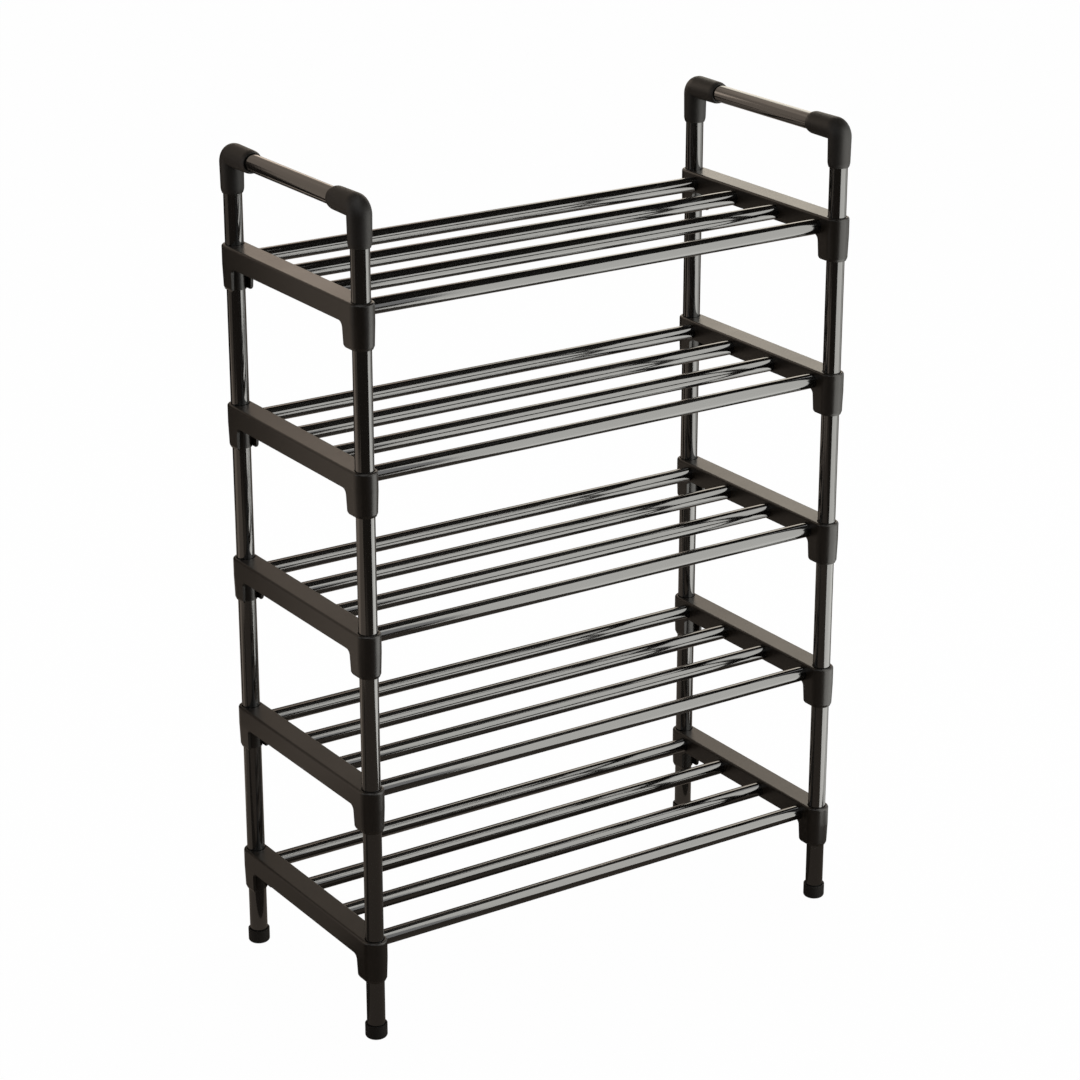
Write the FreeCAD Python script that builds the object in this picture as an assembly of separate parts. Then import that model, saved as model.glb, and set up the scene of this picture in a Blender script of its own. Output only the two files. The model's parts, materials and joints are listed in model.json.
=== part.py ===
import FreeCAD, Part
import math
import os

# Stackable shoe rack: five tiers of four steel rods between moulded end brackets, joined by
# push-in tubes, with a U-handle on each end and rubber caps on the feet.
# Millimetres. +X to the right along the rods, +Y to the back, +Z up.
# The origin is on the floor, at the middle of the four feet.

# Tube and rod stock
tube_od = 19.0
tube_wall = 0.6
rod_od = 16.0
rod_wall = 0.6
slide_fit = 0.08        # radial clearance of a tube or rod in its socket

# Layout of the rack
post_dx = 567.0         # between post axes, along the rods
post_dy = 249.0         # between post axes, front to back
tier_count = 5
tier_pitch = 167.0
foot_clear = 65.4       # floor to the lower edge of the lowest brackets
rods_per_tier = 4

# End bracket, one moulding used on both ends
collar_wall = 3.5       # side wall of the moulding, round the tube and along the bar
leg_h = 46.0            # height at the tube collars
stop_web = 4.0          # web between the upper and the lower tube socket
web_hole_r = 6.0
top_plate = 3.0
rod_cover_top = 4.2     # plastic above a rod
rod_cover_below = 0.6   # plastic below a rod
rod_lap = 0.4           # seen from the end, the outer rods lap the post tubes by this much
rod_post_wall = 1.5     # between a rod's end and the round tube socket beside it
rod_boss_wall = 2.5     # beside a rod socket
rod_end_wall = 2.0      # behind a rod's end
sleeve_wall = 1.3       # round the lower tube socket, inside the open leg
leg_reach = 14.6        # from the tube axis to the leg's free edge
leg_edge_draft = 0.7    # the free edge leans back by this much at the toe
leg_draft = 0.8         # the leg's flank leans in by this much at the toe
toe_h = 3.0             # tapered toe that leads down to the tube
toe_in = 1.3
crotch_round = 6.0      # between the bar's underside and the leg's free edge
toe_round = 2.5         # lower corner of the leg's free edge
top_round = 2.5
rib_t = 2.0
rib_rise = 2.0          # the ribs end this far above the bar's lower edge
mouth_chamfer = 0.7

# Handle: two elbows and a straight bar on two short posts
handle_bar_od = 18.0
handle_rise = 90.8      # top bracket's upper face to the bar's axis
elbow_wall = 2.7        # round the post, at the bend
elbow_drop = 38.4       # bar axis to the elbow's lower end
elbow_reach = 44.5      # post axis to the elbow's inner end
elbow_draft = 0.4       # each leg narrows by this much from the bend to its toe
elbow_toe_h = 6.0       # each leg curves in over this length at its mouth
elbow_toe_in = 1.3
elbow_mouth = 0.4       # chamfer of each mouth
elbow_post_socket = 20.0
elbow_bar_socket = 24.0
elbow_shoulder = 2.0    # step that stops the bar in its socket
elbow_bend = 8.0        # bend radius of the elbow's centre line

# Rubber foot cap
cap_wall = 2.0
cap_h = 15.2
cap_floor = 4.0
cap_fit = 0.05
cap_round = 3.0
cap_hollow_r = 5.5
cap_hollow_depth = 0.8
cap_rim_chamfer = 0.6

# Values that follow from those above
tube_r = tube_od / 2
rod_r = rod_od / 2
socket_r = tube_r + slide_fit
bracket_r = tube_r + collar_wall
post_x = post_dx / 2
post_y = post_dy / 2
rod_drop = rod_cover_top + rod_r
bar_h = rod_drop + rod_r + rod_cover_below
socket_depth = (leg_h - stop_web) / 2
outer_rod_y = post_y - tube_r - rod_r + rod_lap
rod_pitch = 2 * outer_rod_y / (rods_per_tier - 1)
rod_ys = [rod_pitch * i - outer_rod_y for i in range(rods_per_tier)]
# A rod ends where the round tube socket leaves its wall, this far from the plane of the post axes
rod_end_x = math.sqrt(socket_r ** 2 - (tube_r - rod_lap - slide_fit - rod_post_wall) ** 2)
rod_length = post_dx - 2 * rod_end_x
bar_r = handle_bar_od / 2
elbow_r = tube_r + elbow_wall
over = 1.0              # cutters run past a face by this much

V = FreeCAD.Vector
UP = V(0, 0, 1)
ACROSS = V(1, 0, 0)
BACK = V(0, 1, 0)
SIDES = {"left": -1, "right": 1}
ENDS = {"front": -1, "back": 1}


def tier_top(tier):
    """Height of the upper face of a tier's brackets; tiers count from 1 at the floor."""
    return foot_clear + leg_h + tier_pitch * (tier - 1)


def tube(radius, wall, length, start, direction):
    outer = Part.makeCylinder(radius, length, start, direction)
    inner = Part.makeCylinder(radius - wall, length, start, direction)
    return outer.cut(inner)


def moved(shape, x, y, z, half_turn=False):
    """Copy of a shape, turned half a turn about its own upright axis if asked, then placed."""
    copy = shape.copy()
    if half_turn:
        copy.rotate(V(0, 0, 0), UP, 180)
    copy.translate(V(x, y, z))
    return copy


def corner_arc(start, corner, end):
    """Quarter arc that rounds a square corner in the YZ plane."""
    centre = start + end - corner
    middle = centre + (corner - centre) * (1 / math.sqrt(2))
    return Part.Arc(start, middle, end).toShape()


def line(start, end):
    return Part.LineSegment(start, end).toShape()


# End bracket. Its own origin is on its upper face, midway between the two tube axes;
# the rods enter on its +X side.

def stadium(radius, z):
    """Closed outline round both tube axes: two straight flanks and two half circles."""
    front_in = V(radius, -post_y, z)
    back_in = V(radius, post_y, z)
    back_out = V(-radius, post_y, z)
    front_out = V(-radius, -post_y, z)
    return Part.Wire([
        line(front_in, back_in),
        Part.Arc(back_in, V(0, post_y + radius, z), back_out).toShape(),
        line(back_out, front_out),
        Part.Arc(front_out, V(0, -post_y - radius, z), front_in).toShape(),
    ])


def bracket_envelope():
    """Bar with a rounded upper edge, over a drafted lower half with a tapered toe."""
    bar = Part.Face(stadium(bracket_r, -bar_h)).extrude(UP * bar_h)
    rim = [edge for edge in bar.Edges if edge.BoundBox.ZMin > -over]
    bar = bar.makeFillet(min(top_round, collar_wall - mouth_chamfer - slide_fit), rim)
    sections = [
        stadium(bracket_r, -bar_h),
        stadium(bracket_r - leg_draft, toe_h - leg_h),
        stadium(bracket_r - leg_draft - toe_in, -leg_h),
    ]
    return bar.fuse(Part.makeLoft(sections, True, True))


def leg_window():
    """Cutter under the bar that leaves a leg at each end, with a rounded crotch and toe."""
    edge_y = post_y - leg_reach
    toe_y = edge_y + leg_edge_draft
    edges = []
    ends = []
    for side in (1, -1):
        crotch_in = V(0, side * (edge_y - crotch_round), -bar_h)
        crotch = V(0, side * edge_y, -bar_h)
        crotch_out = V(0, side * edge_y, -bar_h - crotch_round)
        toe_in_point = V(0, side * toe_y, toe_round - leg_h)
        toe = V(0, side * toe_y, -leg_h)
        toe_out = V(0, side * (toe_y + toe_round), -leg_h)
        below = toe_out - UP * over
        edges.append(corner_arc(crotch_in, crotch, crotch_out))
        edges.append(line(crotch_out, toe_in_point))
        edges.append(corner_arc(toe_in_point, toe, toe_out))
        edges.append(line(toe_out, below))
        ends.append((crotch_in, below))
    edges.append(line(ends[0][0], ends[1][0]))
    edges.append(line(ends[0][1], ends[1][1]))
    outline = Part.Wire(Part.__sortEdges__(edges))
    half_span = bracket_r + over
    cutter = Part.Face(outline).extrude(ACROSS * 2 * half_span)
    cutter.translate(ACROSS * -half_span)
    return cutter


def channel():
    """Hollow of the moulding, open below, between its two side walls."""
    depth = leg_h - top_plate + over
    return Part.makeBox(2 * tube_r, post_dy, depth, V(-tube_r, -post_y, -leg_h - over))


def rod_bosses():
    """Blocks behind the inner wall that hold the rod ends."""
    half = rod_r + slide_fit + rod_boss_wall
    height = bar_h - top_plate / 2
    back = rod_end_x - rod_end_wall
    depth = (tube_r + bracket_r) / 2 - back
    return [Part.makeBox(depth, 2 * half, height, V(back, y - half, -bar_h)) for y in rod_ys]


def cross_ribs():
    """One rib across the channel, midway between each two rods."""
    height = bar_h - rib_rise - top_plate / 2
    span = tube_r + bracket_r
    return [
        Part.makeBox(span, rib_t, height, V(-span / 2, y + rod_pitch / 2 - rib_t / 2, rib_rise - bar_h))
        for y in rod_ys[:-1]
    ]


def tube_sleeves():
    """Round walls of the lower tube sockets, which show between the flanks of each leg."""
    height = leg_h - top_plate / 2
    radius = socket_r + sleeve_wall
    return [
        Part.makeCylinder(radius, height, V(0, end * post_y, -leg_h), UP)
        for end in ENDS.values()
    ]


def socket_cutters():
    """Tube sockets from above and below with led-in mouths, the web holes, and the rod sockets."""
    cutters = []
    mouth_r = socket_r + mouth_chamfer
    for end in ENDS.values():
        upper = V(0, end * post_y, 0)
        lower = V(0, end * post_y, -leg_h)
        cutters.append(Part.makeCylinder(socket_r, socket_depth + over, upper + UP * over, -UP))
        cutters.append(Part.makeCylinder(socket_r, socket_depth + over, lower - UP * over, UP))
        cutters.append(Part.makeCylinder(web_hole_r, leg_h, lower, UP))
        cutters.append(Part.makeCone(mouth_r, socket_r, mouth_chamfer, upper, -UP))
        cutters.append(Part.makeCone(mouth_r, socket_r, mouth_chamfer, lower, UP))
    for y in rod_ys:
        floor = V(rod_end_x, y, -rod_drop)
        cutters.append(Part.makeCylinder(rod_r + slide_fit, bracket_r, floor, ACROSS))
    return cutters


def end_bracket():
    shell = bracket_envelope().cut(leg_window()).cut(channel())
    shell = shell.fuse(tube_sleeves() + rod_bosses() + cross_ribs())
    return shell.cut(socket_cutters()).removeSplitter()


# Handle elbow. Its own origin is where the post axis meets the bar axis;
# one leg points down and the other to +Y.

def bend():
    """Quarter turn of the round section about the elbow's inner corner."""
    disc = Part.Face(Part.Wire(Part.makeCircle(elbow_r, V(0, 0, -elbow_bend), UP)))
    half = elbow_r + over
    keep = Part.makeBox(2 * half, half + elbow_bend, 2 * half, V(-half, -half, -elbow_bend - half))
    return disc.common(keep).revolve(V(0, elbow_bend, -elbow_bend), -ACROSS, 90)


def elbow_leg(length):
    """Drafted sleeve that runs down from the bend and curves in to a toe at its mouth."""
    toe_r = elbow_r - elbow_draft
    toe_top = V(toe_r, 0, elbow_toe_h - length)
    toe_end = V(toe_r - elbow_toe_in, 0, -length)
    arc_r = (elbow_toe_h ** 2 + elbow_toe_in ** 2) / (2 * elbow_toe_in)
    half_turn = math.asin(elbow_toe_h / arc_r) / 2
    toe_middle = toe_top + V(math.cos(half_turn) - 1, 0, -math.sin(half_turn)) * arc_r
    bend_end = V(elbow_r, 0, -elbow_bend)
    axis_top = V(0, 0, -elbow_bend)
    axis_low = V(0, 0, -length)
    outline = Part.Wire([
        line(axis_top, bend_end),
        line(bend_end, toe_top),
        Part.Arc(toe_top, toe_middle, toe_end).toShape(),
        line(toe_end, axis_low),
        line(axis_low, axis_top),
    ])
    return Part.Face(outline).revolve(V(0, 0, 0), UP, 360)


def elbow_skin():
    """Outer form: a bend with one leg down the post and one along the bar."""
    down = elbow_leg(elbow_drop)
    inward = elbow_leg(elbow_reach)
    inward.rotate(V(0, 0, 0), ACROSS, 90)
    return bend().fuse([down, inward]).removeSplitter()


def handle_elbow():
    """Skin with a socket in each leg and a narrower straight passage from each to the bend."""
    low_end = V(0, 0, -elbow_drop)
    inner_end = V(0, elbow_reach, 0)
    bar_socket_r = bar_r + slide_fit
    passage_r = bar_r - elbow_shoulder
    return elbow_skin().cut([
        Part.makeCylinder(passage_r, elbow_drop, low_end, UP),
        Part.makeCylinder(passage_r, elbow_reach, inner_end, -BACK),
        Part.makeCylinder(socket_r, elbow_post_socket + over, low_end - UP * over, UP),
        Part.makeCylinder(bar_socket_r, elbow_bar_socket + over, inner_end + BACK * over, -BACK),
        Part.makeCone(socket_r + elbow_mouth, socket_r, elbow_mouth, low_end, UP),
        Part.makeCone(bar_socket_r + elbow_mouth, bar_socket_r, elbow_mouth, inner_end, -BACK),
    ])


# Foot cap. Its own origin is on the floor, on the tube axis.

def foot_cap():
    """Turned cup with a rounded tread edge and a shallow hollow in its sole."""
    outer_r = tube_r + cap_wall
    cup = Part.makeCylinder(outer_r, cap_h)
    tread = [edge for edge in cup.Edges if edge.BoundBox.ZMax < over]
    cup = cup.makeFillet(cap_round, tread)
    bore_r = tube_r + cap_fit
    rim_start = V(0, 0, cap_h)
    return cup.cut([
        Part.makeCylinder(bore_r, cap_h, V(0, 0, cap_floor), UP),
        Part.makeCone(bore_r + cap_rim_chamfer, bore_r, cap_rim_chamfer, rim_start, -UP),
        Part.makeCone(cap_hollow_r + cap_hollow_depth, cap_hollow_r, cap_hollow_depth),
    ])


def tier_pieces(bracket):
    """Brackets and rods of every tier; rods count from 1 at the front."""
    pieces = {}
    rod = tube(rod_r, rod_wall, rod_length, V(-rod_length / 2, 0, 0), ACROSS)
    for tier in range(1, tier_count + 1):
        top = tier_top(tier)
        for side, sign in SIDES.items():
            pieces[f"tier_{tier}_{side}_bracket"] = moved(bracket, sign * post_x, 0, top, sign > 0)
        for number, y in enumerate(rod_ys, 1):
            pieces[f"tier_{tier}_rod_{number}"] = moved(rod, 0, y, top - rod_drop)
    return pieces


def post_pieces():
    """Tubes between tiers; a post is numbered by the tier that it stands in."""
    pieces = {}
    length = tier_pitch - stop_web
    post = tube(tube_r, tube_wall, length, V(0, 0, 0), UP)
    for tier in range(1, tier_count):
        seat = tier_top(tier) - socket_depth
        for end, y_sign in ENDS.items():
            for side, x_sign in SIDES.items():
                name = f"post_{tier}_{end}_{side}"
                pieces[name] = moved(post, x_sign * post_x, y_sign * post_y, seat)
    return pieces


def handle_pieces(elbow):
    pieces = {}
    top = tier_top(tier_count)
    axis_z = top + handle_rise
    post_length = handle_rise - elbow_drop + elbow_post_socket + socket_depth
    post = tube(tube_r, tube_wall, post_length, V(0, 0, 0), UP)
    bar_length = post_dy - 2 * (elbow_reach - elbow_bar_socket)
    bar = tube(bar_r, tube_wall, bar_length, V(0, -bar_length / 2, 0), BACK)
    for side, x_sign in SIDES.items():
        x = x_sign * post_x
        pieces[f"{side}_handle_bar"] = moved(bar, x, 0, axis_z)
        for end, y_sign in ENDS.items():
            y = y_sign * post_y
            pieces[f"{side}_handle_{end}_post"] = moved(post, x, y, top - socket_depth)
            pieces[f"{side}_handle_{end}_elbow"] = moved(elbow, x, y, axis_z, y_sign > 0)
    return pieces


def foot_pieces(cap):
    """Feet, front and back as one pair on each end."""
    pieces = {}
    length = foot_clear + socket_depth - cap_floor
    foot = tube(tube_r, tube_wall, length, V(0, 0, 0), UP)
    for side, x_sign in SIDES.items():
        x = x_sign * post_x
        ys = [y_sign * post_y for y_sign in ENDS.values()]
        pieces[f"{side}_foot_tubes"] = Part.Compound([moved(foot, x, y, cap_floor) for y in ys])
        pieces[f"{side}_foot_caps"] = Part.Compound([moved(cap, x, y, 0) for y in ys])
    return pieces


def main():
    os.makedirs("parts", exist_ok=True)
    pieces = tier_pieces(end_bracket())
    pieces.update(post_pieces())
    pieces.update(handle_pieces(handle_elbow()))
    pieces.update(foot_pieces(foot_cap()))
    for name, shape in pieces.items():
        shape.exportStep(f"parts/{name}.step")
    box = Part.Compound(list(pieces.values())).optimalBoundingBox(False)
    print(len(pieces), "nodes,", f"{box.XLength:.1f} x {box.YLength:.1f} x {box.ZLength:.1f} mm")


main()
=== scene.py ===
# %% [markdown]
# # A stackable shoe rack
# The rack is gloss black steel tube pushed into dark plastic end brackets and elbows, with rubber caps on
# its feet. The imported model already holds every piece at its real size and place, so this lesson does three
# things around it: it redraws the round steel finely enough to carry clean reflections, it gives each
# material a finish, and it sets up a small photo studio.

# %% Load the frame
import json
import math

import bmesh
import bpy
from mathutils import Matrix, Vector


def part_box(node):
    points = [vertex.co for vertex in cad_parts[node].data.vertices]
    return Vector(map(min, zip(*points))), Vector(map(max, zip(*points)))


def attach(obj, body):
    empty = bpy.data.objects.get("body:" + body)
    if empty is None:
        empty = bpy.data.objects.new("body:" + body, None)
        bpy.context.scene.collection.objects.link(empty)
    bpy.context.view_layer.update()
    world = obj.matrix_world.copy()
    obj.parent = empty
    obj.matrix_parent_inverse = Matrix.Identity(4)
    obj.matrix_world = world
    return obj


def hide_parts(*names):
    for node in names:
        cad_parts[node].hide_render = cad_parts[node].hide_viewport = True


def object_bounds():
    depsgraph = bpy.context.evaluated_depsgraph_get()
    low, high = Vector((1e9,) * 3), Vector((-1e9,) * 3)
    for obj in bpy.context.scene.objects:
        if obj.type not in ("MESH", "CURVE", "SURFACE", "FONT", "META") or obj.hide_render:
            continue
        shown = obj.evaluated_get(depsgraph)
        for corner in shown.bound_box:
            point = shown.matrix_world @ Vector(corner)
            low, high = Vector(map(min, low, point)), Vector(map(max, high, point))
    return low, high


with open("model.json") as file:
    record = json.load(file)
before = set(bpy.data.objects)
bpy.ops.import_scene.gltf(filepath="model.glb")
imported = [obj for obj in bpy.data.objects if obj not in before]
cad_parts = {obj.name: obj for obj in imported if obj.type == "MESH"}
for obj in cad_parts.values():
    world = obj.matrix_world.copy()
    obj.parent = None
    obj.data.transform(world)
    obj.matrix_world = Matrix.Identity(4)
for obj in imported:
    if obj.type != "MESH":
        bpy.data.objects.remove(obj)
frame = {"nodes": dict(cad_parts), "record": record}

cad_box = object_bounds()
nodes = frame["nodes"]
bodies = frame["record"]["behaviour"]["bodies"]
mm = 0.001
print("CAD box in mm:", [[round(v / mm, 1) for v in corner] for corner in cad_box])

# %% [markdown]
# ## Small helpers
# A node tree is a list of nodes, their settings and their links, whether it shades a surface or builds a
# mesh. One function that adds a node and wires its inputs keeps each tree readable from top to bottom.
# Colours are written as the hex values a colour picker shows, and turned to linear light once, here.

# %% Node and colour helpers
def add_node(tree, kind, inputs=(), **settings):
    """Adds a node; inputs maps a socket's name or number to a value or to the socket that feeds it."""
    node = tree.nodes.new(kind)
    for name, value in settings.items():
        setattr(node, name, value)
    for key, value in dict(inputs).items():
        if isinstance(value, bpy.types.NodeSocket):
            tree.links.new(value, node.inputs[key])
        else:
            node.inputs[key].default_value = value
    return node


def colour(hex_code):
    """Linear RGBA of an sRGB hex colour."""
    channels = [int(hex_code[i:i + 2], 16) / 255 for i in (1, 3, 5)]
    return [c / 12.92 if c <= 0.04045 else ((c + 0.055) / 1.055) ** 2.4 for c in channels] + [1.0]


def new_material(name):
    """A material with an empty node tree, and the tree."""
    material = bpy.data.materials.new(name)
    material.use_nodes = True
    material.node_tree.nodes.clear()
    return material, material.node_tree


def per_metre(size_mm):
    """Texture scale, in repeats per metre, of a pattern whose grain is size_mm wide."""
    return 1 / (size_mm * mm)


enamel_black = "#0a0908"
print("black of the enamel, linear:", [round(c, 4) for c in colour(enamel_black)[:3]])

# %% [markdown]
# ## Stoved enamel on drawn steel tube
# The tubes are thin-walled steel, dipped or sprayed black and baked. A baked film is glassy, so the eye sees
# little black paint and mostly a mirror of the room, stretched along the tube. Two things keep it from being
# a perfect mirror: the drawn tube waves very slightly along its length, and the film has a fine orange peel.
# Both are bump patterns that follow the tube, so they read an attribute that each tube carries, and not the
# object's coordinates, which would cut every tube differently.

# %% Gloss enamel material
tube_place = "tube_place"
tube_shift = "tube_shift"


def gloss_enamel():
    peel_mm = 2.2
    wave_mm = 34.0
    wave_squeeze = 9.0
    wave_bump, wave_height = 0.15, 0.3 * mm
    peel_bump, peel_height = 0.06, 0.1 * mm
    least_rough, most_rough = 0.07, 0.13
    # Plain lacquer has 1.5; these tubes mirror more strongly, nearly as dark chrome does
    film_ior = 2.1
    material, tree = new_material("stoved_black_enamel_on_steel_tube")
    place = add_node(tree, "ShaderNodeAttribute", attribute_name=tube_place)
    shift = add_node(tree, "ShaderNodeAttribute", attribute_name=tube_shift)
    own = add_node(tree, "ShaderNodeVectorMath", {0: place.outputs["Vector"], 1: shift.outputs["Vector"]})
    # Along the tube the waves are long, and round it they are short
    drawn = add_node(tree, "ShaderNodeMapping",
                     {"Vector": own.outputs[0], "Scale": (wave_squeeze, wave_squeeze, 1.0)})
    waves = add_node(tree, "ShaderNodeTexNoise",
                     {"Vector": drawn.outputs[0], "Scale": per_metre(wave_mm), "Detail": 1.0})
    peel = add_node(tree, "ShaderNodeTexNoise",
                    {"Vector": own.outputs[0], "Scale": per_metre(peel_mm), "Detail": 2.0})
    rough = add_node(tree, "ShaderNodeMapRange",
                     {"Value": waves.outputs["Fac"], "To Min": least_rough, "To Max": most_rough})
    wavy = add_node(tree, "ShaderNodeBump",
                    {"Height": waves.outputs["Fac"], "Strength": wave_bump, "Distance": wave_height})
    peeled = add_node(tree, "ShaderNodeBump",
                      {"Height": peel.outputs["Fac"], "Strength": peel_bump, "Distance": peel_height,
                       "Normal": wavy.outputs[0]})
    enamel = add_node(tree, "ShaderNodeBsdfPrincipled",
                      {"Base Color": colour(enamel_black), "Roughness": rough.outputs[0], "IOR": film_ior,
                       "Normal": peeled.outputs[0]})
    add_node(tree, "ShaderNodeOutputMaterial", {"Surface": enamel.outputs[0]})
    return material


enamel = gloss_enamel()
print("made", enamel.name)

# %% [markdown]
# ## Moulded polypropylene
# Brackets and elbows are injection-moulded polypropylene, dyed a warm near-black. The moulds are spark-eroded,
# which leaves a fine even grain. On the brackets it spreads every highlight into a soft satin sheen, and on
# the elbows, from a coarser mould, it leaves them almost matt. The dye flows with the melt, so the tone also
# drifts a little over some centimetres. The true grain is about 0.2 mm, too fine to show at this distance,
# and is drawn at 0.7 mm.

# %% Satin and matt plastic materials
def moulded_polypropylene(name, dark, light, least_rough, most_rough):
    grain_mm = 0.7
    flow_mm = 45.0
    grain_bump, grain_height = 0.12, 0.1 * mm
    plastic_ior = 1.49
    material, tree = new_material(name)
    place = add_node(tree, "ShaderNodeTexCoord")
    grain = add_node(tree, "ShaderNodeTexNoise",
                     {"Vector": place.outputs["Object"], "Scale": per_metre(grain_mm), "Detail": 1.0})
    flow = add_node(tree, "ShaderNodeTexNoise",
                    {"Vector": place.outputs["Object"], "Scale": per_metre(flow_mm), "Detail": 3.0})
    tone = add_node(tree, "ShaderNodeMix",
                    {"Factor": flow.outputs["Fac"], "A": colour(dark), "B": colour(light)},
                    data_type="RGBA")
    rough = add_node(tree, "ShaderNodeMapRange",
                     {"Value": flow.outputs["Fac"], "To Min": least_rough, "To Max": most_rough})
    bump = add_node(tree, "ShaderNodeBump",
                    {"Height": grain.outputs["Fac"], "Strength": grain_bump, "Distance": grain_height})
    plastic = add_node(tree, "ShaderNodeBsdfPrincipled",
                       {"Base Color": tone.outputs["Result"], "Roughness": rough.outputs[0],
                        "IOR": plastic_ior, "Normal": bump.outputs[0]})
    add_node(tree, "ShaderNodeOutputMaterial", {"Surface": plastic.outputs[0]})
    return material


satin_plastic = moulded_polypropylene("moulded_polypropylene_satin", dark="#15100b", light="#1d1710",
                                      least_rough=0.29, most_rough=0.37)
matt_plastic = moulded_polypropylene("moulded_polypropylene_matt", dark="#110d09", light="#18130d",
                                     least_rough=0.5, most_rough=0.58)
print("made", satin_plastic.name, "and", matt_plastic.name)

# %% [markdown]
# ## Moulded rubber
# The foot caps are soft black rubber. Filler makes it matt, so it shows almost no highlight, only a faint
# greyish bloom that lightens it in patches of a few millimetres.

# %% Rubber material
def cap_rubber():
    bloom_mm = 6.0
    grain_mm = 0.8
    grain_bump, grain_height = 0.2, 0.1 * mm
    rubber_rough, rubber_ior = 0.62, 1.4
    material, tree = new_material("moulded_black_rubber")
    place = add_node(tree, "ShaderNodeTexCoord")
    bloom = add_node(tree, "ShaderNodeTexNoise",
                     {"Vector": place.outputs["Object"], "Scale": per_metre(bloom_mm), "Detail": 3.0})
    grain = add_node(tree, "ShaderNodeTexNoise",
                     {"Vector": place.outputs["Object"], "Scale": per_metre(grain_mm), "Detail": 1.0})
    tone = add_node(tree, "ShaderNodeMix",
                    {"Factor": bloom.outputs["Fac"], "A": colour("#0e0c09"), "B": colour("#15120e")},
                    data_type="RGBA")
    bump = add_node(tree, "ShaderNodeBump",
                    {"Height": grain.outputs["Fac"], "Strength": grain_bump, "Distance": grain_height})
    rubber = add_node(tree, "ShaderNodeBsdfPrincipled",
                      {"Base Color": tone.outputs["Result"], "Roughness": rubber_rough,
                       "IOR": rubber_ior, "Normal": bump.outputs[0]})
    add_node(tree, "ShaderNodeOutputMaterial", {"Surface": rubber.outputs[0]})
    return material


rubber = cap_rubber()
print("made", rubber.name)

# %% [markdown]
# ## One tree that draws every tube
# All the round steel is the same thing at several lengths: a ring of wall section swept round an axis, with a
# deburred edge at both ends. A Geometry Nodes tree draws that ring once, as a thin rectangle swept round a
# circle, and sets a copy on each point it is given. The copies are then made real, because an exported
# model keeps no instances. Each copy carries its own coordinates for the enamel's pattern, and a random
# shift, so that no two tubes wave alike.

# %% Tube tree
tube_wall = 0.6 * mm
edge_break = 0.15 * mm
tube_sides = 96
sharp_angle = math.radians(30)
shift_span = 10.0
shift_seed = 7


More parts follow.
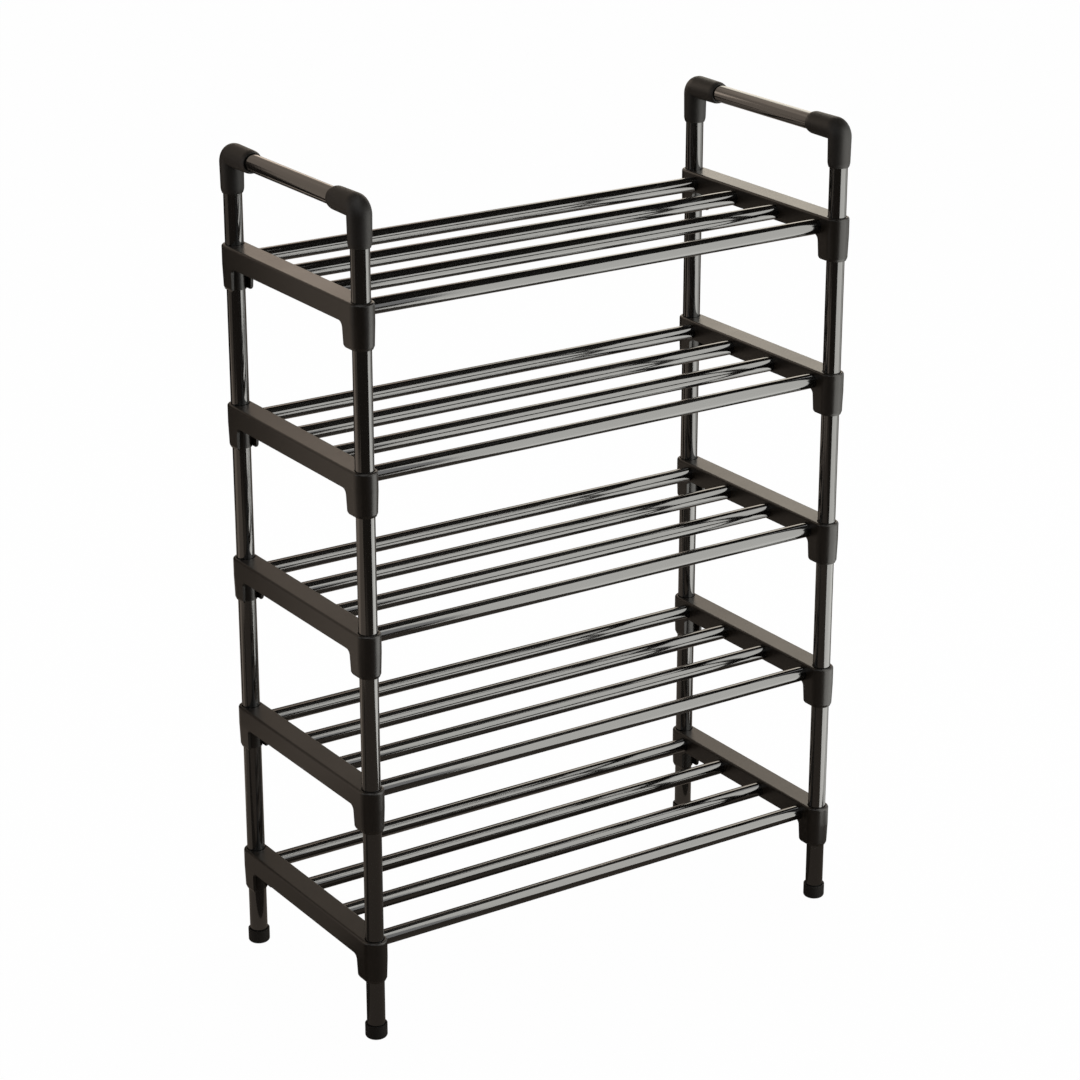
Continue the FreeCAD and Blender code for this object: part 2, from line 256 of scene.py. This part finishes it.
def build_tube_tree():
    tree = bpy.data.node_groups.new("steel_tubes_on_points", "GeometryNodeTree")
    tree.interface.new_socket("Points", in_out="INPUT", socket_type="NodeSocketGeometry")
    for label in ("Length", "Outer radius", "Wall", "Edge break"):
        tree.interface.new_socket(label, in_out="INPUT", socket_type="NodeSocketFloat")
    tree.interface.new_socket("Sides", in_out="INPUT", socket_type="NodeSocketInt")
    tree.interface.new_socket("Turn", in_out="INPUT", socket_type="NodeSocketVector")
    tree.interface.new_socket("Seed", in_out="INPUT", socket_type="NodeSocketInt")
    tree.interface.new_socket("Finish", in_out="INPUT", socket_type="NodeSocketMaterial")
    tree.interface.new_socket("Tubes", in_out="OUTPUT", socket_type="NodeSocketGeometry")
    given = add_node(tree, "NodeGroupInput").outputs

    half_wall = add_node(tree, "ShaderNodeMath", {0: given["Wall"], 1: 0.5}, operation="MULTIPLY")
    middle = add_node(tree, "ShaderNodeMath", {0: given["Outer radius"], 1: half_wall.outputs[0]},
                      operation="SUBTRACT")
    circle = add_node(tree, "GeometryNodeCurvePrimitiveCircle",
                      {"Resolution": given["Sides"], "Radius": middle.outputs[0]})
    upright = add_node(tree, "GeometryNodeSetCurveNormal", {"Curve": circle.outputs["Curve"]}, mode="Z_UP")
    section = add_node(tree, "GeometryNodeCurvePrimitiveQuadrilateral",
                       {"Width": given["Wall"], "Height": given["Length"]})
    deburred = add_node(tree, "GeometryNodeFilletCurve",
                        {"Curve": section.outputs["Curve"], "Radius": given["Edge break"], "Count": 1,
                         "Limit Radius": True}, mode="POLY")
    tube = add_node(tree, "GeometryNodeCurveToMesh",
                    {"Curve": upright.outputs[0], "Profile Curve": deburred.outputs[0]})

    here = add_node(tree, "GeometryNodeInputPosition")
    placed = add_node(tree, "GeometryNodeStoreNamedAttribute",
                      {"Geometry": tube.outputs[0], "Name": tube_place, "Value": here.outputs[0]},
                      data_type="FLOAT_VECTOR", domain="POINT")
    smooth = add_node(tree, "GeometryNodeSetShadeSmooth",
                      {0: placed.outputs[0], "Shade Smooth": True}, domain="FACE")
    bend = add_node(tree, "GeometryNodeInputMeshEdgeAngle")
    corner = add_node(tree, "FunctionNodeCompare", {0: bend.outputs["Unsigned Angle"], 1: sharp_angle},
                      data_type="FLOAT", operation="GREATER_THAN")
    crisp = add_node(tree, "GeometryNodeSetShadeSmooth",
                     {0: smooth.outputs[0], "Selection": corner.outputs[0], "Shade Smooth": False},
                     domain="EDGE")

    turned = add_node(tree, "FunctionNodeEulerToRotation", {"Euler": given["Turn"]})
    copies = add_node(tree, "GeometryNodeInstanceOnPoints",
                      {"Points": given["Points"], "Instance": crisp.outputs[0],
                       "Rotation": turned.outputs[0]})
    chance = add_node(tree, "FunctionNodeRandomValue",
                      {0: (0.0, 0.0, 0.0), 1: (shift_span,) * 3, "Seed": given["Seed"]},
                      data_type="FLOAT_VECTOR")
    shifted = add_node(tree, "GeometryNodeStoreNamedAttribute",
                       {"Geometry": copies.outputs[0], "Name": tube_shift, "Value": chance.outputs[0]},
                       data_type="FLOAT_VECTOR", domain="INSTANCE")
    real = add_node(tree, "GeometryNodeRealizeInstances", {0: shifted.outputs[0]})
    finished = add_node(tree, "GeometryNodeSetMaterial",
                        {"Geometry": real.outputs[0], "Material": given["Finish"]})
    add_node(tree, "NodeGroupOutput", {"Tubes": finished.outputs[0]})
    return tree


tube_tree = build_tube_tree()
tube_inputs = {item.name: item.identifier for item in tube_tree.interface.items_tree
               if item.in_out == "INPUT"}
print("tube tree takes:", ", ".join(tube_inputs))

# %% [markdown]
# ## Setting the tubes
# A tube's place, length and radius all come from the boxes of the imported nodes, so each new tube lies exactly
# where its solid does. The function below turns a set of points into tubes, checks that their faces point
# outwards by the sign of their volume, and hands the piece to the body that carries it.

# %% Tube maker
UPRIGHT = (0.0, 0.0, 0.0)
ALONG_RODS = (0.0, math.pi / 2, 0.0)
FRONT_TO_BACK = (math.pi / 2, 0.0, 0.0)


def middle_of(node):
    low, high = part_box(node)
    return (low + high) / 2


def size_of(node):
    low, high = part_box(node)
    return high - low


def volume_of(mesh):
    """Signed volume in cubic metres: positive where the faces point outwards."""
    shape = bmesh.new()
    shape.from_mesh(mesh)
    volume = shape.calc_volume(signed=True)
    shape.free()
    return volume


def make_tubes(name, body, stands_for, points, length, radius, turn):
    seats = bpy.data.meshes.new(name)
    seats.from_pydata(points, [], [])
    piece = bpy.data.objects.new(name, seats)
    bpy.context.scene.collection.objects.link(piece)
    modifier = piece.modifiers.new("tubes", "NODES")
    modifier.node_group = tube_tree
    sizes = {"Length": length, "Outer radius": radius, "Wall": tube_wall, "Edge break": edge_break,
             "Sides": tube_sides, "Turn": turn, "Seed": shift_seed, "Finish": enamel}
    for label, value in sizes.items():
        modifier[tube_inputs[label]] = value
    drawn = piece.evaluated_get(bpy.context.evaluated_depsgraph_get())
    mesh = bpy.data.meshes.new_from_object(drawn)
    piece.modifiers.clear()
    piece.data = mesh
    assert volume_of(mesh) > 0, f"{name} is inside out"
    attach(piece, body)
    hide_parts(*stands_for)
    print(f"{name}: {len(points)} tubes, {length / mm:.1f} x {2 * radius / mm:.1f} mm, on {body}")
    return piece


# %% [markdown]
# ## Shelf rods
# Each tier has a row of thinner tubes, pushed into the sockets of both end brackets. They are the part of
# the rack that the light draws most clearly, because every rod mirrors the studio as one long strip.

# %% Shelf rods, one row for each tier
for body, members in bodies.items():
    rods = [node for node in members if "_rod_" in node]
    if rods:
        tier = rods[0].split("_rod_")[0]
        size = size_of(rods[0])
        make_tubes(f"{tier}_shelf_rods", body, rods, [middle_of(node) for node in rods],
                   size.x, size.z / 2, ALONG_RODS)

# %% [markdown]
# ## Posts, feet and handles
# The uprights are the thicker tube. Posts stand in a bracket's collar and carry the next tier, the feet are
# the same tube below the lowest brackets, and each handle is two short posts and a straight bar. The
# feet are packed as a pair, so their two axes are found from the ends of the pair's box.

# %% Posts between tiers
for body, members in bodies.items():
    posts = [node for node in members if node.startswith("post_")]
    if posts:
        size = size_of(posts[0])
        make_tubes(f"posts_on_{body}", body, posts, [middle_of(node) for node in posts],
                   size.z, size.x / 2, UPRIGHT)

# %% Feet
for side in ("left", "right"):
    node = f"{side}_foot_tubes"
    low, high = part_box(node)
    radius = (high.x - low.x) / 2
    centre = (low + high) / 2
    axes_y = (low.y + radius, high.y - radius)
    make_tubes(f"{side}_feet", "base", [node], [Vector((centre.x, y, centre.z)) for y in axes_y],
               high.z - low.z, radius, UPRIGHT)

# %% Handle posts and bars
for side in ("left", "right"):
    body = f"{side}_handle"
    posts = [f"{side}_handle_{end}_post" for end in ("front", "back")]
    size = size_of(posts[0])
    make_tubes(f"{side}_handle_posts", body, posts, [middle_of(node) for node in posts],
               size.z, size.x / 2, UPRIGHT)
    bar = f"{side}_handle_bar"
    size = size_of(bar)
    make_tubes(f"{side}_grip_bar", body, [bar], [middle_of(bar)], size.y, size.x / 2, FRONT_TO_BACK)

# %% [markdown]
# ## Brackets, elbows and caps
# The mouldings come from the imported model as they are: their drafted legs, rounded edges and sockets are
# already true, so they only need their finish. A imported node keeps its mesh, and only the material on it
# changes.

# %% Finish of the mouldings
finishes = {"_bracket": satin_plastic, "_elbow": matt_plastic, "_foot_caps": rubber}
dressed = 0
for name, node in nodes.items():
    for ending, finish in finishes.items():
        if name.endswith(ending):
            node.data.materials.clear()
            node.data.materials.append(finish)
            dressed += 1
print("mouldings given a finish:", dressed)

# %% [markdown]
# ## The studio
# The floor and the room are white, and the light is soft and even. Black gloss shows nothing but its
# surroundings, so the studio is arranged as a photographer would for black enamel, with cards that only
# mirrors see. Cloths and pale patches on the floor are what the posts and the outer faces of the brackets
# mirror. Bright panels in front on the right draw the long strips on posts and rods, and flags, which are
# dark cards, end those strips where the photographed ones end. The wall behind fills the handle bars, and
# the panels in front of it light the upper faces of the brackets, more on the right and higher up.

# %% Floor and room
floor_half = 15.0
room_white = 1.0
fill_light = 0.42
floor_white_share = 0.985


def white_rays(tree):
    """1 for the rays that see the background: straight from the camera, mirrored, or through glass."""
    ray = add_node(tree, "ShaderNodeLightPath").outputs
    seen = add_node(tree, "ShaderNodeMath", {0: ray["Is Camera Ray"], 1: ray["Is Glossy Ray"]},
                    operation="MAXIMUM")
    return add_node(tree, "ShaderNodeMath", {0: seen.outputs[0], 1: ray["Is Transmission Ray"]},
                    operation="MAXIMUM").outputs[0]


def make_floor():
    material, tree = new_material("white_studio_floor")
    paint = add_node(tree, "ShaderNodeBsdfDiffuse", {"Color": colour("#fafafa")})
    glow = add_node(tree, "ShaderNodeEmission", {"Color": colour("#ffffff"), "Strength": room_white})
    share = add_node(tree, "ShaderNodeMath", {0: white_rays(tree), 1: floor_white_share},
                     operation="MULTIPLY")
    mixed = add_node(tree, "ShaderNodeMixShader",
                     {0: share.outputs[0], 1: paint.outputs[0], 2: glow.outputs[0]})
    add_node(tree, "ShaderNodeOutputMaterial", {"Surface": mixed.outputs[0]})
    mesh = bpy.data.meshes.new("studio_floor")
    corners = [(x * floor_half, y * floor_half, 0) for x, y in ((-1, -1), (1, -1), (1, 1), (-1, 1))]
    mesh.from_pydata(corners, [], [(0, 1, 2, 3)])
    mesh.materials.append(material)
    floor = bpy.data.objects.new("studio_floor", mesh)
    bpy.context.scene.collection.objects.link(floor)


def make_room():
    world = bpy.data.worlds.new("white_room")
    world.use_nodes = True
    tree = world.node_tree
    tree.nodes.clear()
    level = add_node(tree, "ShaderNodeMix",
                     {"Factor": white_rays(tree), "A": fill_light, "B": room_white}, data_type="FLOAT")
    air = add_node(tree, "ShaderNodeBackground",
                   {"Color": colour("#ffffff"), "Strength": level.outputs["Result"]})
    add_node(tree, "ShaderNodeOutputWorld", {"Surface": air.outputs[0]})
    bpy.context.scene.world = world


make_floor()
make_room()
print("floor and room are white")

# %% Lamp and cards
rack_middle = (cad_box[0] + cad_box[1]) / 2


def soft_lamp(name, place, target, side, brightness):
    """Square soft light that leaves no mirror image; brightness 1 is a face like white paper."""
    lamp = bpy.data.lights.new(name, "AREA")
    lamp.size = side
    lamp.energy = brightness * math.pi * side ** 2
    panel = bpy.data.objects.new(name, lamp)
    panel.location = place
    panel.rotation_mode = "QUATERNION"
    panel.rotation_quaternion = (Vector(target) - Vector(place)).to_track_quat("-Z", "Y")
    panel.visible_camera = False
    panel.visible_glossy = False
    bpy.context.scene.collection.objects.link(panel)


def mirror_card(name, corner, along, up, tint, brightness):
    """Flat card that only mirrors see, from one corner and two sides; brightness 1 is white paper."""
    material, tree = new_material(name)
    face = add_node(tree, "ShaderNodeEmission", {"Color": colour(tint), "Strength": brightness})
    add_node(tree, "ShaderNodeOutputMaterial", {"Surface": face.outputs[0]})
    corner, along, up = Vector(corner), Vector(along), Vector(up)
    mesh = bpy.data.meshes.new(name)
    mesh.from_pydata([corner, corner + along, corner + along + up, corner + up], [], [(0, 1, 2, 3)])
    mesh.materials.append(material)
    card = bpy.data.objects.new(name, mesh)
    for ray in ("camera", "diffuse", "transmission", "volume_scatter", "shadow"):
        setattr(card, f"visible_{ray}", False)
    bpy.context.scene.collection.objects.link(card)


clear = "#fffef8"
cream = "#fbf4e4"
warm = "#ffebd8"
soft_lamp("top_softbox", place=(0.9, 0.6, 2.4), target=rack_middle, side=1.8, brightness=2.2)

# Each row: name, corner, one side, the other side, tint, brightness
cards = (
    # On the floor, each a little above what it lies on
    ("dark_cloth_in_front", (-4.0, -4.0, 0.002), (8.0, 0.0, 0.0), (0.0, 4.06, 0.0), warm, 0.05),
    ("grey_cloth_behind", (-4.0, 0.06, 0.002), (8.0, 0.0, 0.0), (0.0, 3.9, 0.0), warm, 0.23),
    ("pale_floor_in_front", (-1.2, -1.15, 0.003), (1.9, 0.0, 0.0), (0.0, 1.05, 0.0), warm, 0.14),
    ("pale_floor_on_the_left", (-2.1, -0.75, 0.003), (0.9, 0.0, 0.0), (0.0, 1.4, 0.0), warm, 0.36),
    ("pale_floor_left_behind", (-2.1, 0.42, 0.004), (1.7, 0.0, 0.0), (0.0, 2.15, 0.0), warm, 0.6),
    # Walls
    ("dark_left_wall", (-3.5, -4.0, 0.0), (0.0, 4.5, 0.0), (0.0, 0.0, 2.5), warm, 0.03),
    ("dark_front_wall", (-3.5, -4.0, 0.0), (3.4, 0.0, 0.0), (0.0, 0.0, 2.5), warm, 0.03),
    ("warm_back_wall", (-5.0, 2.6, 0.0), (10.0, 0.0, 0.0), (0.0, 0.0, 5.0), warm, 0.6),
    ("high_back_wall", (-5.0, 2.58, 2.65), (10.0, 0.0, 0.0), (0.0, 0.0, 2.35), warm, 0.9),
    # Flags
    ("overhead_flag", (-1.5, -0.05, 1.376), (4.0, 0.0, 0.0), (0.0, 1.45, 0.764), warm, 0.015),
    ("front_flag", (-0.3, -0.787, 1.0), (1.0, 0.811, 0.0), (0.0, 0.45, 0.35), warm, 0.015),
    ("back_flag", (-0.7, 1.5, 0.0), (1.6, 0.0, 0.0), (0.0, 0.0, 1.25), warm, 0.04),
    ("edge_flag", (-0.745, 0.8, 0.64), (0.245, 0.0, 0.0), (0.0, 0.0, 0.36), warm, 0.01),
    ("left_flag", (-0.5, 0.38, 0.0), (0.0, 0.5, 0.0), (0.0, 0.0, 0.75), warm, 0.02),
    # Bright panels in front and on the right
    ("front_panel", (0.215, -0.8, 0.0), (1.185, 0.0, 0.0), (0.0, 0.0, 1.8), clear, 2.8),
    ("overhead_panel", (0.3, -0.8, 1.8), (1.3, 0.0, 0.0), (0.0, 0.75, 0.8), clear, 2.8),
    ("right_panel", (1.4, -0.8, 0.0), (0.0, 0.75, 0.0), (0.0, 0.0, 1.2), clear, 1.35),
    ("front_floor_card", (0.28, -0.8, 0.004), (1.12, 0.0, 0.0), (0.0, 0.48, 0.0), clear, 3.1),
    ("right_floor_card", (0.48, -0.32, 0.004), (0.92, 0.0, 0.0), (0.0, 0.27, 0.0), clear, 1.6),
    # Panels and cards behind
    ("low_back_panel", (0.95, 1.45, 0.96), (1.0, 0.0, 0.0), (0.0, 0.0, 0.16), warm, 2.25),
    ("back_panel", (0.95, 1.45, 1.12), (1.0, 0.0, 0.0), (0.0, 0.0, 0.83), cream, 2.5),
    ("high_back_card", (-0.1, 1.45, 1.3), (1.05, 0.0, 0.0), (0.0, 0.0, 0.65), warm, 0.5),
    ("mid_back_card", (-0.05, 1.48, 0.75), (0.95, 0.0, 0.0), (0.0, 0.0, 0.55), warm, 0.46),
    ("near_back_card", (-0.12, 0.55, 0.9), (0.4, 0.0, 0.0), (0.0, 0.0, 0.16), warm, 1.8),
)
for card in cards:
    mirror_card(*card)
print("lamp and cards set round", [round(v, 3) for v in rack_middle])

# %% [markdown]
# ## The camera
# The photograph was taken from the front left, a little above the rack, with a long lens from about three
# metres. The position, the turn and the lens below are the ones that lay the rack's posts, tiers and handles
# over the photographed ones. The lens needs no shift: its axis meets the picture in the middle.

# %% Camera
photo_px = 1080
focal_px = 3085.1
sensor_mm = 36.0
camera_place = Vector((-1.6765, -2.5307, 1.5847))
camera_yaw = 0.58493
camera_pitch = 0.35958

ahead = Vector((math.sin(camera_yaw) * math.cos(camera_pitch),
                math.cos(camera_yaw) * math.cos(camera_pitch),
                -math.sin(camera_pitch)))
lens = bpy.data.cameras.new("photo_camera")
lens.sensor_width = sensor_mm
lens.lens = focal_px / photo_px * sensor_mm
camera = bpy.data.objects.new("photo_camera", lens)
camera.location = camera_place
camera.rotation_mode = "QUATERNION"
camera.rotation_quaternion = ahead.to_track_quat("-Z", "Y")
bpy.context.scene.collection.objects.link(camera)
bpy.context.scene.camera = camera
bpy.context.scene.view_settings.view_transform = "Standard"
print(f"lens {lens.lens:.1f} mm at {[round(v, 2) for v in camera_place]}")
